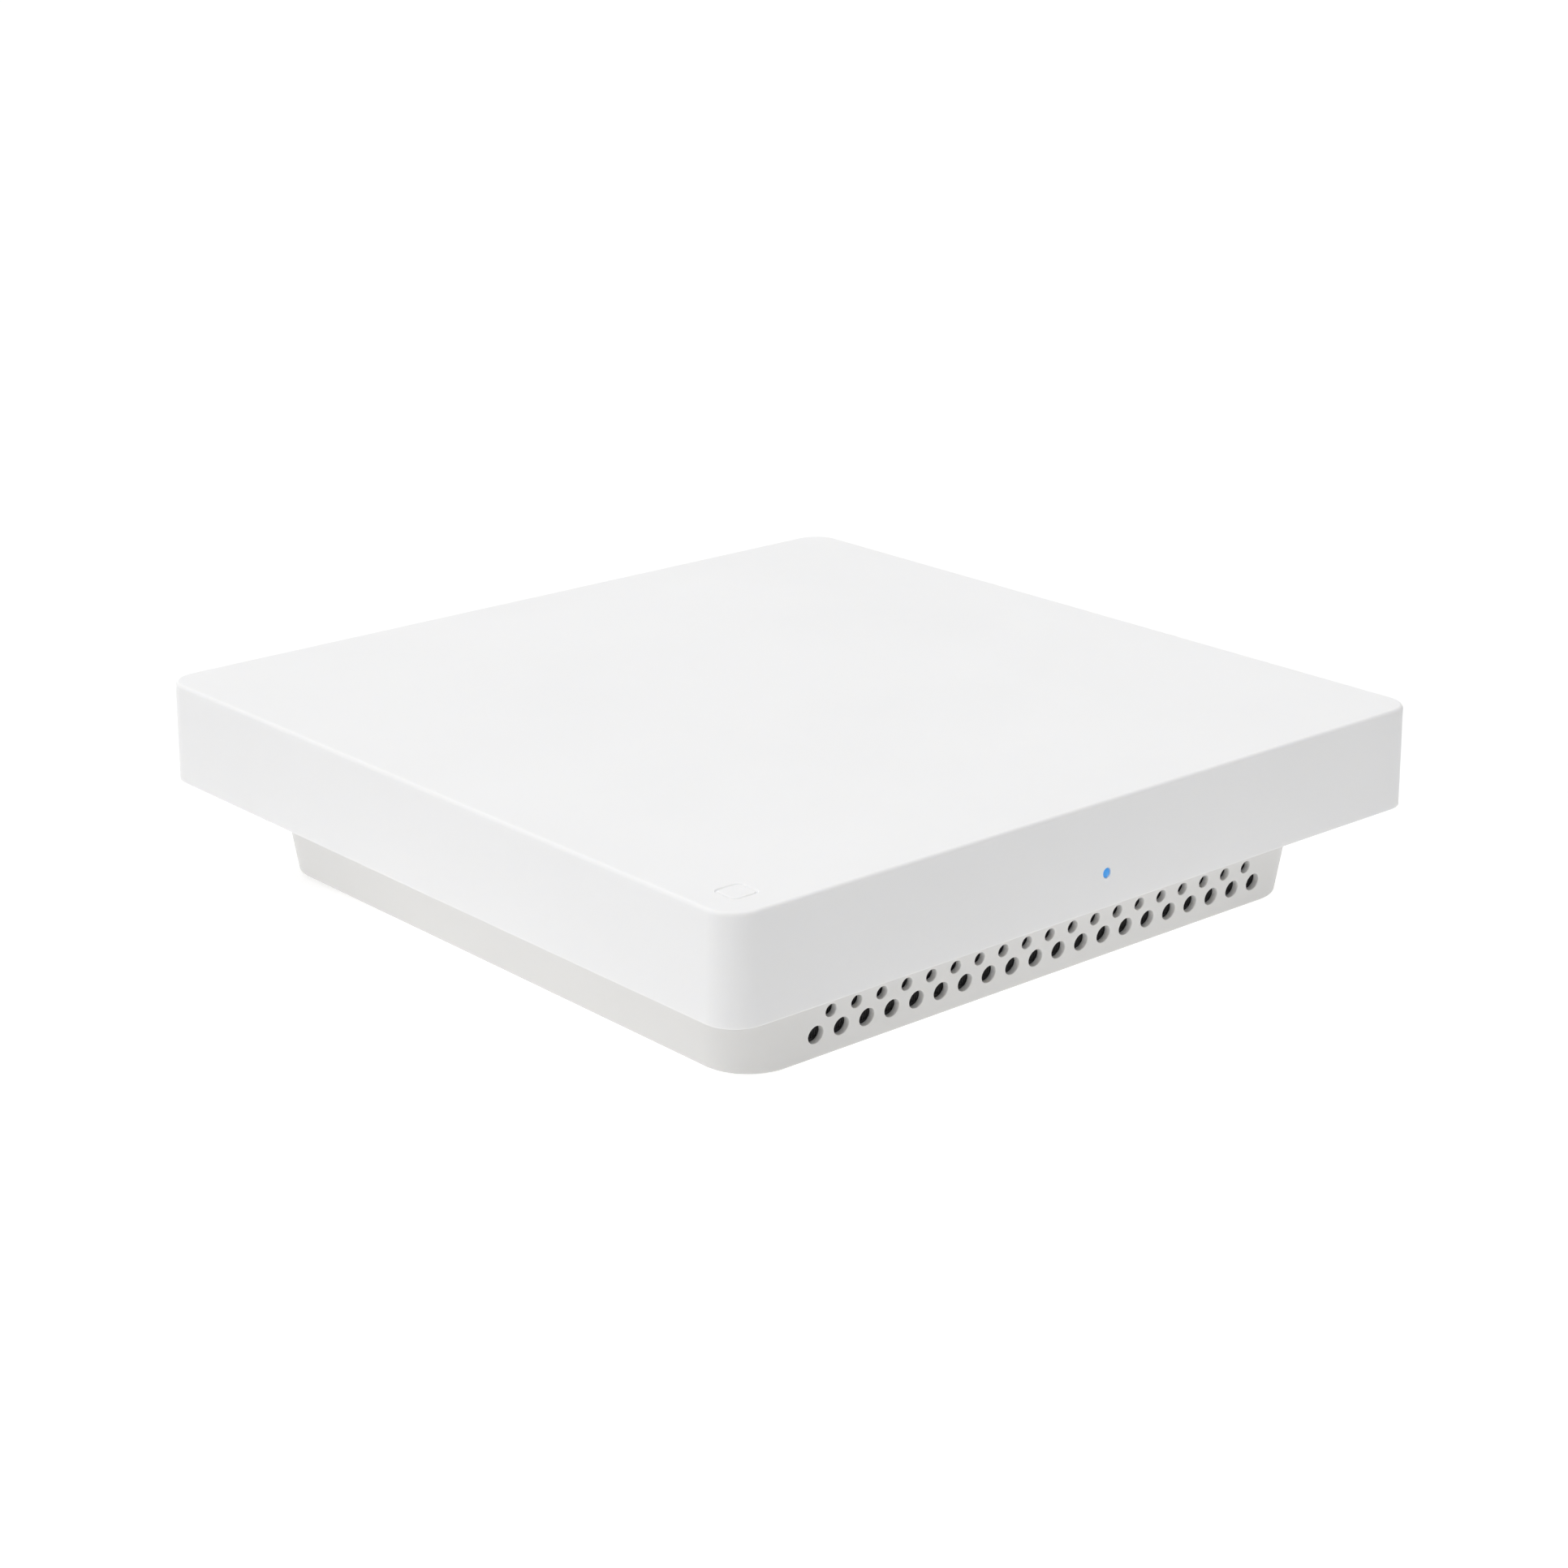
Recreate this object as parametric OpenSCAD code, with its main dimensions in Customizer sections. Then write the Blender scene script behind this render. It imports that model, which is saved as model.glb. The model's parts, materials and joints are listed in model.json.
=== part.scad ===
// Wireless router. A flat square cover overhangs a smaller tapered base, with the circuit
// board, heatsink and antennas inside. Millimetres, +Z up. The origin is the middle of the
// surface that the feet stand on. -Y is the front with the vents and +Y the side with the ports.

/* [Cover] */
// Side of the square cover at its rim
cover_w = 200; // [196:1:206]
// Height of the cover's outer wall
cover_h = 23.2; // [23:0.1:26]
// Radius of the cover's upright corners at the rim
cover_corner_r = 7.5; // [6:0.1:12]
// How much the cover's wall leans in from rim to top
cover_draft = 0.35; // [0:0.05:1]
// Rounding of the cover's top edge
cover_edge_r = 0.9; // [0.5:0.1:2]
// Side of the rounded square moulded into the cover
emblem_w = 7; // [4:0.5:12]
// Distance from the cover's sides to the middle of the moulded square
emblem_inset = 10.5; // [9:0.5:20]

/* [Base] */
// Side of the base at its bottom
base_w = 164.6; // [162:0.2:168]
// Height of the base that shows below the cover
base_h = 21.2; // [21.2:0.1:23]
// Radius of the base's upright corners at the bottom
base_corner_r = 11.5; // [8:0.5:14]
// How far the base's walls lean out for each millimetre of height
base_draft = 0.156; // [0.1:0.002:0.18]
// Thickness of the cover, and of the base's floor
wall = 2.2; // [1.8:0.1:2.4]
// Thickness of the base's walls
base_wall = 1.6; // [1.4:0.1:2.2]
// Height of the feet below the base
foot_h = 1; // [0.6:0.1:2]
// Diameter of a foot
foot_d = 14; // [10:1:16]
// Distance of the feet from the middle, both ways
foot_pos = 66; // [60:1:68]

/* [Vents] */
// Number of vents in the lower row
vent_count = 20; // [10:1:20]
// Distance between vents in a row
vent_pitch = 6.85; // [6:0.05:6.9]
// Diameter of the lower vents
vent_lower_d = 4; // [3:0.1:4.4]
// Diameter of the upper vents
vent_upper_d = 2.9; // [2:0.1:3.6]
// Height of the lower row above the base's bottom
vent_lower_z = 5.7; // [5:0.1:6.5]
// Height between the two rows
vent_row_step = 4.55; // [4.2:0.05:5]
// Distance of both rows' middle from the middle of the wall, to the right
vent_shift = 1.4; // [-2:0.1:2]

/* [Status light] */
// Diameter of the light pipe
pipe_d = 2.1; // [2:0.1:3]
// Depth of the light pipe's centre below the cover's top
pipe_drop = 15.7; // [14:0.1:16]
// Distance of the light pipe from the middle of the wall, to the right
pipe_x = 0.9; // [-1:0.1:1]

/* [Bracket inserts] */
// Distance between the threaded inserts, both ways
insert_pitch = 75; // [60:1:80]
// Diameter of the hole in an insert
insert_bore_d = 3.3; // [3.3:0.1:4.2]
// Length of an insert
insert_l = 6; // [4:0.5:6]

/* [Circuit board] */
// Size of the board across
board_x = 158; // [150:1:158]
// Size of the board from front to back
board_y = 156.4; // [155:0.2:156.4]
// Thickness of the board
board_t = 1.6; // [1:0.1:1.6]

/* [Heatsink] */
// Thickness of the heatsink's plate
sink_t = 3; // [2.4:0.1:3]
// Height of the fins below the plate
fin_h = 6.4; // [4:0.1:6.4]
// Number of fins
fin_count = 16; // [8:1:18]
// Thickness of a fin
fin_t = 1.6; // [1:0.1:2]

/* [Ports] */
// Height of the network jacks
jack_h = 13.2; // [13.1:0.1:13.4]
// Width of the network jacks
jack_w = 16; // [16:0.1:16.4]
// Depth of the network jacks
jack_l = 21.3; // [18:0.1:22]
// Width of a network jack's opening
port_w = 11.9; // [11.8:0.1:12]
// Height of a network jack's opening above its latch slot
port_h = 7.6; // [7.4:0.1:7.6]
// Diameter of the power jack's socket
power_bore_d = 6.4; // [5.6:0.1:6.4]
// Diameter of the power jack's centre pin
power_pin_d = 2; // [1.3:0.1:2.5]

/* [Buttons] */
// Diameter of the pairing button
pairing_d = 6; // [5:0.5:7]
// Diameter of the reset button
reset_d = 2; // [1.6:0.1:2.4]
// Clearance round a button in the port panel
button_gap = 0.2; // [0.15:0.05:0.3]

/* [Antennas] */
// Side of the antenna plate
plate_w = 164; // [160:1:166]
// Height of the antenna plate's underside
plate_z = 32.4; // [31.8:0.1:33.4]
// Diameter of an antenna lead
lead_d = 1.3; // [1.1:0.1:1.4]

/* [Hidden] */
$fn = 48;
eps = 0.01;
slip = 0.05;                            // gap between neighbours that slide or drop together

base_z = foot_h;                        // underside of the base
rim_z = base_z + base_h;                // lower rim of the cover
top_z = rim_z + cover_h;                // top of the cover
cover_side = cover_w / 2;
cover_centre = cover_side - cover_corner_r;
emblem_line = 0.7;
emblem_depth = 0.15;
emblem_corner_r = 1.8;
base_side = base_w / 2;
base_centre = base_side - base_corner_r;
base_edge_r = 0.8;
floor_z = base_z + wall;

flange_z = rim_z + 0.8;
flange_t = 2;
flange_top = flange_z + flange_t;
flange_side = cover_side - wall - 0.4;

board_z = 21;                           // underside of the board
board_top = board_z + board_t;
board_front = -78;
board_back = board_front + board_y;
board_posts = [for (x = [-72, 72], y = [-70, 0, 70]) [x, y]];
board_post_d = 7;

cover_screw_pos = 89;
cover_post_z = flange_z + 4.5;          // where the base's and cover's screw posts meet
cover_post_d = 8;
base_post_d = 9;
cover_screw_seat = flange_z + 2.4;      // where the heads sit in the base's posts

insert_d = 6;
insert_boss_d = 10;
insert_boss_top = 8;

foot_recess = 0.6;
foot_chamfer = 0.4;

label_size = [52, 34];
label_t = 0.15;

screen_size = [142, 13];
screen_t = 0.6;
screen_gap = 0.1;                       // between the screen and the front wall

screw_shank_d = 2.9;
screw_hole_d = 3;
screw_head_d = 5.6;
screw_head_h = 2;
recess_depth = 1.1;
recess_size = [3.2, 0.7];

sink_top = board_z - 3;
sink_z = sink_top - sink_t;
sink_x = 124;
sink_front = -66;
sink_back = 30;
sink_post_spots = [for (x = [-50, 50], y = [-56, 20]) [x, y]];

panel_face = 80.3;                      // outer face of the port panel
panel_t = 1.5;
panel_back = panel_face - panel_t;
panel_x = 107.2;
panel_gap = 0.15;                       // between the panel and the jacks that pass through it
pocket_x = 104;
panel_z = floor_z + 1 + slip;           // clears the chamfer along the floor
pocket_z0 = floor_z + 1.4;
pocket_z1 = rim_z - 1.6;
port_face = panel_face + 0.2;           // front of the jacks
wan_x = 16;
lan_x = -4;
power_x = 38;
pairing_x = -24;
reset_x = -38;
jack_z = board_z - jack_h;
shield_t = 0.4;
port_top = board_z - 1.8;
port_z = port_top - port_h;
guide_x = 53;                           // middle of the stops, over the ends of the panel
guide_lip = 1.6;
latch_w = 6.4;
latch_h = 3;
power_w = 9;
power_h = 11;
power_l = 14.5;
power_axis_z = board_z - 5.8;
power_depth = 9.5;

button_z = 15.5;
button_flange_t = 0.8;
button_flange_back = panel_back - slip - button_flange_t;
switch_face = 76;
switch_l = 4;
switch_w = 6.4;
stem_d = 3;
stem_travel = 0.5;
stem_depth = 0.8;

pipe_z = top_z - pipe_drop;
pipe_bend = 4;
led_y = -73;

shield_rear = [44, 28, 20];             // size across, size front to back, centre's y
shield_front = [44, 24, -22];
shield_frame_h = 3;

plate_t = 1;
plate_top = plate_z + plate_t;
standoffs = [for (x = [-64, 64], y = [-30, 30]) [x, y]];
antenna_count = 4;
lead_r = lead_d / 2;
lead_bend = 3;
lead_low = board_top + 1.65;            // height of a lead's axis at its plug
lead_high = plate_top + lead_r + slip;  // height of a lead's axis on the plate
plug_l = 2;
// Plug's distance from the middle, run before the lead climbs, antenna's distance from the middle
small_run = [46, 8, 76];
large_run = [50, 16, 100];

function arc(x, y, r, from, to, steps) =
  [for (i = [0 : steps]) let (a = from + (to - from) * i / steps) [x + r * cos(a), y + r * sin(a)]];

function base_lean(z) = base_draft * (z - base_z);

// Flat rectangle with round corners
module rounded_rect(x, y, r) {
  square([x - 2 * r, y], center = true);
  square([x, y - 2 * r], center = true);
  for (sx = [-1, 1], sy = [-1, 1])
    translate([sx * (x / 2 - r), sy * (y / 2 - r)]) circle(r);
}

// Square body whose four upright corners turn the profile given as a child
module corner_body(centre, facets = 48) {
  hull()
    for (x = [-centre, centre], y = [-centre, centre])
      translate([x, y, 0]) rotate_extrude($fn = facets) children();
}

module box(x0, x1, y0, y1, z0, z1) {
  translate([x0, y0, z0]) cube([x1 - x0, y1 - y0, z1 - z0]);
}

// Cylinder along +Y
module rod_y(d, y0, y1) {
  translate([0, y0, 0]) rotate([-90, 0, 0]) cylinder(d = d, h = y1 - y0);
}

module at(spots) {
  for (p = spots) translate([p[0], p[1], 0]) children();
}

// Pan-head screw, head up, with a cross recess; z is the underside of its head
module screw(z, shank_l) {
  translate([0, 0, z]) difference() {
    union() {
      cylinder(d = screw_head_d, h = screw_head_h);
      translate([0, 0, -shank_l]) cylinder(d = screw_shank_d, h = shank_l + eps);
    }
    for (a = [0, 90])
      rotate([0, 0, a]) translate([-recess_size[0] / 2, -recess_size[1] / 2, screw_head_h - recess_depth])
        cube([recess_size[0], recess_size[1], recess_depth + 1]);
  }
}

// ---- Shells ----

module cover_outer() {
  corner_body(cover_centre, 64)
    polygon(concat(
      [[0, rim_z], [cover_corner_r, rim_z]],
      arc(cover_corner_r - cover_draft - cover_edge_r, top_z - cover_edge_r, cover_edge_r, 0, 90, 6),
      [[0, top_z]]));
}

module cover_inner() {
  r = cover_corner_r - wall;
  corner_body(cover_centre, 32)
    polygon([[0, rim_z - 1], [r, rim_z - 1], [r - cover_draft, top_z - wall], [0, top_z - wall]]);
}

module emblem_groove() {
  emblem_pos = cover_side - emblem_inset;
  translate([-emblem_pos, -emblem_pos, top_z - emblem_depth]) linear_extrude(1)
    difference() {
      rounded_rect(emblem_w, emblem_w, emblem_corner_r);
      rounded_rect(emblem_w - 2 * emblem_line, emblem_w - 2 * emblem_line, emblem_corner_r - emblem_line);
    }
}

module top_cover() {
  screw_spots = [for (x = [-1, 1], y = [-1, 1]) [x * cover_screw_pos, y * cover_screw_pos]];
  color("white") difference() {
    union() {
      difference() {
        cover_outer();
        cover_inner();
      }
      at(screw_spots) translate([0, 0, cover_post_z])
        cylinder(d = cover_post_d, h = top_z - wall / 2 - cover_post_z);
    }
    at(screw_spots) translate([0, 0, cover_post_z - 1]) cylinder(d = screw_hole_d, h = 11);
    translate([pipe_x, 0, pipe_z]) rod_y(pipe_d + 0.2, -cover_side - 1, -cover_side + wall + 1);
    emblem_groove();
  }
}

module base_outer() {
  rise = flange_top - base_z;
  corner_body(base_centre, 64)
    polygon(concat(
      [[0, base_z]],
      arc(base_corner_r - base_edge_r, base_z + base_edge_r, base_edge_r, -90, 0, 4),
      [[base_corner_r + base_draft * rise, flange_top], [0, flange_top]]));
}

module base_inner() {
  r = base_corner_r - base_wall;
  corner_body(base_centre, 32)
    polygon([
      [0, floor_z], [r + base_lean(floor_z) - 1, floor_z], [r + base_lean(floor_z + 1), floor_z + 1],
      [r + base_lean(flange_top + 1), flange_top + 1], [0, flange_top + 1]]);
}

module vent_row(count, d, z) {
  for (i = [0 : count - 1])
    translate([vent_shift + (i - (count - 1) / 2) * vent_pitch, 0, base_z + z])
      rod_y(d, -base_side - 6, -base_side + 4);
}

// Stops that hold the port panel's ends and lower edge
module panel_guides() {
  for (x = [-guide_x, guide_x]) difference() {
    box(x - guide_lip, x + guide_lip, panel_back - guide_lip, panel_face + 2, floor_z - eps, 18);
    box(x - 2 * guide_lip, x + 2 * guide_lip, panel_back - slip, panel_face + slip, floor_z, 19);
  }
  box(-46, 46, panel_back - guide_lip, panel_back - slip, floor_z - eps, floor_z + guide_lip);
}

module base_housing() {
  insert_spots = [for (x = [-1, 1], y = [-1, 1]) [x, y] * insert_pitch / 2];
  screw_spots = [for (x = [-1, 1], y = [-1, 1]) [x, y] * cover_screw_pos];
  foot_spots = [for (x = [-1, 1], y = [-1, 1]) [x, y] * foot_pos];
  color("whitesmoke") difference() {
    union() {
      difference() {
        union() {
          base_outer();
          translate([0, 0, flange_z]) linear_extrude(flange_t)
            rounded_rect(2 * flange_side, 2 * flange_side, cover_corner_r - wall);
        }
        base_inner();
      }
      intersection() {
        base_outer();
        box(-pocket_x / 2 - guide_lip, pocket_x / 2 + guide_lip, port_face + slip, 90, floor_z - eps, rim_z);
      }
      at(board_posts) translate([0, 0, floor_z - eps])
        cylinder(d = board_post_d, h = board_z - floor_z + eps);
      at(insert_spots) translate([0, 0, floor_z - eps])
        cylinder(d = insert_boss_d, h = insert_boss_top - floor_z);
      at(screw_spots) translate([0, 0, flange_z]) cylinder(d = base_post_d, h = cover_post_z - flange_z);
      panel_guides();
      difference() {
        box(pipe_x - 2.5, pipe_x + 2.5, -93, -91, flange_top - eps, pipe_z);
        translate([pipe_x, 0, pipe_z]) rod_y(pipe_d + 2 * slip, -94, -90);
      }
    }
    box(-pocket_x / 2, pocket_x / 2, panel_face, 95, pocket_z0, pocket_z1);
    vent_row(vent_count, vent_lower_d, vent_lower_z);
    vent_row(vent_count - 1, vent_upper_d, vent_lower_z + vent_row_step);
    at(board_posts) translate([0, 0, board_z - 9]) cylinder(d = screw_hole_d, h = 10);
    at(insert_spots) translate([0, 0, base_z - 1]) cylinder(d = insert_d, h = insert_l + 1);
    at(screw_spots) translate([0, 0, flange_z - 1]) cylinder(d = screw_hole_d + 0.4, h = 8);
    at(screw_spots) translate([0, 0, flange_z - 1])
      cylinder(d = screw_head_d + 0.6, h = cover_screw_seat - flange_z + 1);
    at(foot_spots) translate([0, 0, base_z - 1]) cylinder(d = foot_d + 0.2, h = foot_recess + 1);
  }
}

module rear_panel() {
  color("gainsboro") difference() {
    box(-panel_x / 2, panel_x / 2, panel_back, panel_face, panel_z, board_z - 0.1);
    for (x = [wan_x, lan_x])
      translate([x, 0, 0])
        box(-jack_w / 2 - panel_gap, jack_w / 2 + panel_gap, panel_back - 1, panel_face + 1,
            jack_z - panel_gap, board_z);
    translate([power_x, 0, 0])
      box(-power_w / 2 - panel_gap, power_w / 2 + panel_gap, panel_back - 1, panel_face + 1,
          board_z - power_h - panel_gap, board_z);
    translate([pairing_x, 0, button_z]) rod_y(pairing_d + 2 * button_gap, panel_back - 1, panel_face + 1);
    translate([reset_x, 0, button_z]) rod_y(reset_d + 2 * button_gap, panel_back - 1, panel_face + 1);
  }
}

module rubber_feet() {
  color("dimgray") at([for (x = [-1, 1], y = [-1, 1]) [x, y] * foot_pos]) {
    cylinder(d1 = foot_d - 2 * foot_chamfer, d2 = foot_d, h = foot_chamfer);
    translate([0, 0, foot_chamfer]) cylinder(d = foot_d, h = foot_h + foot_recess - foot_chamfer);
  }
}

module mounting_inserts() {
  color("goldenrod") at([for (x = [-1, 1], y = [-1, 1]) [x, y] * insert_pitch / 2])
    translate([0, 0, base_z]) difference() {
      cylinder(d = insert_d - slip, h = insert_l - slip);
      translate([0, 0, -1]) cylinder(d = insert_bore_d, h = insert_l + 2);
    }
}

module rating_label() {
  color("silver") translate([0, 0, base_z - label_t]) linear_extrude(label_t)
    rounded_rect(label_size[0], label_size[1], 2);
}

module dust_screen() {
  lean = atan(base_draft);
  inner_y = base_side - base_wall * sqrt(1 + base_draft * base_draft) - screen_gap;
  color("black")
    translate([vent_shift, -inner_y - base_lean(floor_z + 1), floor_z + 1]) rotate([lean, 0, 0])
      box(-screen_size[0] / 2, screen_size[0] / 2, 0, screen_t, 0, screen_size[1]);
}

module cover_screws() {
  color("silver") at([for (x = [-1, 1], y = [-1, 1]) [x, y] * cover_screw_pos])
    translate([0, 0, cover_screw_seat]) mirror([0, 0, 1]) screw(0, 10);
}

// ---- Status light ----

module light_pipe() {
  bend_z = pipe_z - pipe_bend;
  bend_y = led_y - pipe_bend;
  color("azure") translate([pipe_x, 0, 0]) {
    translate([0, led_y, board_top + 1.2]) cylinder(d = pipe_d, h = bend_z - board_top - 1.2);
    translate([0, bend_y, bend_z]) rotate([90, 0, 90]) rotate_extrude(angle = 90)
      translate([pipe_bend, 0]) circle(d = pipe_d);
    translate([0, 0, pipe_z]) rod_y(pipe_d, -cover_side + 0.2, bend_y);
  }
}

module status_led() {
  color("deepskyblue") box(pipe_x - 1.6, pipe_x + 1.6, led_y - 0.8, led_y + 0.8, board_top, board_top + 1);
}

// ---- Circuit board and what is on it ----

module main_board() {
  color("darkgreen") difference() {
    translate([0, (board_front + board_back) / 2, board_z]) linear_extrude(board_t)
      rounded_rect(board_x, board_y, 8);
    at(concat(board_posts, sink_post_spots)) translate([0, 0, board_z - 1])
      cylinder(d = screw_shank_d + 0.5, h = board_t + 2);
  }
}

module board_screws() {
  color("silver") at(board_posts) screw(board_top, 8);
}

module chip(x, y, w, l, h, under = true) {
  z = under ? board_z - h : board_top;
  box(x - w / 2, x + w / 2, y - l / 2, y + l / 2, z, z + h);
}

module system_on_chip() {
  color("dimgray") chip(0, -18, 21, 21, 2.2);
}

module memory_chips() {
  color("dimgray") for (y = [-10, -26]) chip(22, y, 9, 13, 1.2);
}

module flash_chip() {
  color("dimgray") chip(-24, -18, 12, 18, 1.2);
}

module radio_chips() {
  color("dimgray") for (s = [shield_rear, shield_front]) chip(0, s[2], 10, 10, 0.9, false);
}

module crystals() {
  color("lightgray") for (s = [shield_rear, shield_front]) chip(30, s[2], 3.2, 2.5, 0.8, false);
}

module chip_capacitors() {
  color("tan") for (x = [-8.75 : 2.5 : 8.75], y = [-2.5, 0]) chip(x, y - 2, 1.6, 0.8, 0.8, false);
}

module thermal_pads() {
  color("lightslategray") {
    box(-10, 10, -28, -8, sink_top, board_z - 2.2);
    for (y = [-10, -26]) box(18, 26, y - 6, y + 6, sink_top, board_z - 1.2);
  }
}

module heatsink() {
  fin_step = (sink_x - fin_t) / (fin_count - 1);
  color("silver") difference() {
    union() {
      box(-sink_x / 2, sink_x / 2, sink_front, sink_back, sink_z, sink_top);
      for (i = [0 : fin_count - 1])
        translate([-sink_x / 2 + i * fin_step, sink_front, sink_z - fin_h])
          cube([fin_t, sink_back - sink_front, fin_h + eps]);
      at(sink_post_spots) translate([0, 0, sink_top - eps]) cylinder(d = 6.5, h = board_z - sink_top + eps);
    }
    at(sink_post_spots) translate([0, 0, sink_top - 2]) cylinder(d = screw_hole_d, h = 6);
  }
}

module heatsink_screws() {
  color("silver") at(sink_post_spots) screw(board_top, 5.5);
}

module shield_frame(s) {
  color("lightgray") translate([0, s[2], board_top]) linear_extrude(shield_frame_h)
    difference() {
      square([s[0], s[1]], center = true);
      square([s[0] - 0.8, s[1] - 0.8], center = true);
    }
}

module shield_lid(s) {
  color("silver") translate([0, s[2], board_top]) difference() {
    translate([0, 0, 0.6]) linear_extrude(shield_frame_h - 0.3)
      square([s[0] + 0.7, s[1] + 0.7], center = true);
    linear_extrude(shield_frame_h) square([s[0] + 0.1, s[1] + 0.1], center = true);
    for (x = [-16 : 4 : 16], y = [-6 : 4 : 6])
      translate([x, y, 0]) cylinder(d = 1.4, h = 6, $fn = 24);
  }
}

module ethernet_transformers() {
  color("dimgray") for (x = [wan_x, lan_x]) chip(x, 48, 16, 9, 5.5);
}

module poe_transformer() {
  color("darkslategray") {
    for (z = [board_z - 10.5, board_z - 3]) box(32, 47, 39, 52, z, z + 3);
    for (y = [39, 50]) box(32, 47, y, y + 2, board_z - 10.5 + eps, board_z - eps);
    translate([39.5, 45.5, board_z - 9]) cylinder(d = 10, h = 8);
  }
}

module bulk_capacitors() {
  color("midnightblue") at([[58, 52], [69, 52], [63.5, 41]])
    translate([0, 0, board_z - 10.5]) cylinder(d = 8, h = 10.5);
}

module power_inductors() {
  color("dimgray") for (x = [-28, -42, -56]) chip(x, 46, 7, 7, 4);
}

// ---- Ports ----

// Opening of a network jack: the plug's body, with its latch slot below
module port_opening(from, to) {
  box(-port_w / 2, port_w / 2, from, to, port_z, port_top);
  box(-latch_w / 2, latch_w / 2, from, to, port_z - latch_h, port_z + eps);
}

module jack_shield(x) {
  color("silver") translate([x, 0, 0]) difference() {
    box(-jack_w / 2, jack_w / 2, port_face - jack_l, port_face, jack_z, board_z);
    box(-jack_w / 2 + shield_t, jack_w / 2 - shield_t, port_face - jack_l + shield_t, port_face - shield_t,
        jack_z + shield_t, board_z + 1);
    port_opening(port_face - 2, port_face + 1);
    for (s = [-1, 1]) box(s * 6.2 - 1, s * 6.2 + 1, port_face - 2, port_face + 1, jack_z + 0.9, jack_z + 2.9);
  }
}

module jack_insert(x) {
  inner = jack_w / 2 - shield_t - slip;
  back = port_face - jack_l + shield_t + slip;
  front = port_face - shield_t - slip;
  color("black") translate([x, 0, 0]) difference() {
    box(-inner, inner, back, front, jack_z + shield_t + slip, board_z);
    port_opening(front - 14, front + 1);
    box(-4.2, 4.2, front - 14, front - 1, port_top - eps, port_top + 1);
    for (s = [-1, 1])
      box(s * 6.2 - 1.05, s * 6.2 + 1.05, front - 3, front + 1, jack_z + 0.85, jack_z + 2.95);
  }
}

// Eight spring wires that slope down and back from the roof of the opening
module jack_contacts(x) {
  front = port_face - shield_t - slip;
  color("gold") for (i = [0 : 7])
    translate([x + (i - 3.5) * 1.02 - 0.17, front - 1.6, port_top + 0.4]) rotate([8, 0, 0])
      translate([0, -9.6, -0.3]) cube([0.34, 9.6, 0.3]);
}

module jack_link_lights() {
  color("palegreen") for (x = [wan_x, lan_x], s = [-1, 1])
    box(x + s * 6.2 - 0.95, x + s * 6.2 + 0.95, port_face - 3.2, port_face, jack_z + 0.95, jack_z + 2.85);
}

module power_jack() {
  color("black") difference() {
    translate([power_x, 0, 0])
      box(-power_w / 2, power_w / 2, port_face - power_l, port_face, board_z - power_h, board_z);
    translate([power_x, 0, power_axis_z]) rod_y(power_bore_d, port_face - power_depth, port_face + 1);
  }
}

module power_jack_pin() {
  color("silver") translate([power_x, 0, power_axis_z])
    rod_y(power_pin_d, port_face - power_depth, port_face - 1);
}

// ---- Buttons ----

// Cap in front of the panel with a flange behind it; reach is how far the cap stands past the face
module button(x, d, flange_d, reach) {
  translate([x, 0, button_z]) {
    rod_y(d, button_flange_back + eps, panel_face + reach);
    rod_y(flange_d, button_flange_back, button_flange_back + button_flange_t);
  }
}

module switch_body(x) {
  color("dimgray") difference() {
    box(x - switch_w / 2, x + switch_w / 2, switch_face - switch_l, switch_face, button_z - 3.2, board_z);
    translate([x, 0, button_z])
      rod_y(stem_d + 0.3, switch_face - stem_depth - stem_travel - 0.2, switch_face + 1);
  }
}

module switch_stem(x) {
  color("ivory") translate([x, 0, button_z]) rod_y(stem_d, switch_face - stem_depth, button_flange_back);
}

module pairing_button() {
  color("lightgray") button(pairing_x, pairing_d, pairing_d + 2, 0.8);
}

module reset_button() {
  color("lightgray") button(reset_x, reset_d, reset_d + 2.4, -0.9);
}

// ---- Antennas ----

// Point where a lead passes through the plate, as a distance from the middle
function lead_drop(run) = run[0] + run[1] + lead_bend * 1.5;

module around(run, turn) {
  for (i = [0 : antenna_count - 1])
    rotate([0, 0, 90 * i + turn]) children();
}

module antenna_plate() {
  color("silver") translate([0, 0, plate_z]) linear_extrude(plate_t) difference() {
    rounded_rect(plate_w, plate_w, 10);
    around(small_run, 0) translate([lead_drop(small_run), 0]) circle(r = 3.2);
    around(large_run, 45) translate([lead_drop(large_run), 0]) circle(r = 3.2);
    at(standoffs) circle(d = screw_shank_d + 0.5);
    rounded_rect(56, 40, 6);
  }
}

module plate_standoffs() {
  color("goldenrod") at(standoffs) translate([0, 0, board_top]) difference() {
    cylinder(d = 6, h = plate_z - board_top, $fn = 6);
    translate([0, 0, 2]) cylinder(d = screw_hole_d, h = 20);
  }
}

module plate_screws() {
  color("silver") at(standoffs) screw(plate_top, 6);
}

// Upright dipole board in a small clip
module small_antenna(i) {
  color("darkgreen") rotate([0, 0, 90 * i]) translate([small_run[2], 0, plate_top]) {
    box(0, 3, -4, 4, 0, 1.4);
    box(1, 1.8, -8, 8, 1.4 - eps, 8.4);
  }
}

// Folded sheet antenna: foot, upright and a wide top
module large_antenna(i) {
  color("silver") rotate([0, 0, 90 * i + 45]) translate([large_run[2], 0, plate_top]) {
    box(0, 6, -4, 4, 0, 0.5);
    box(5.5, 6, -4, 4, 0, 8);
    box(-1, 6, -12, 12, 7.5, 8);
  }
}

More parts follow.
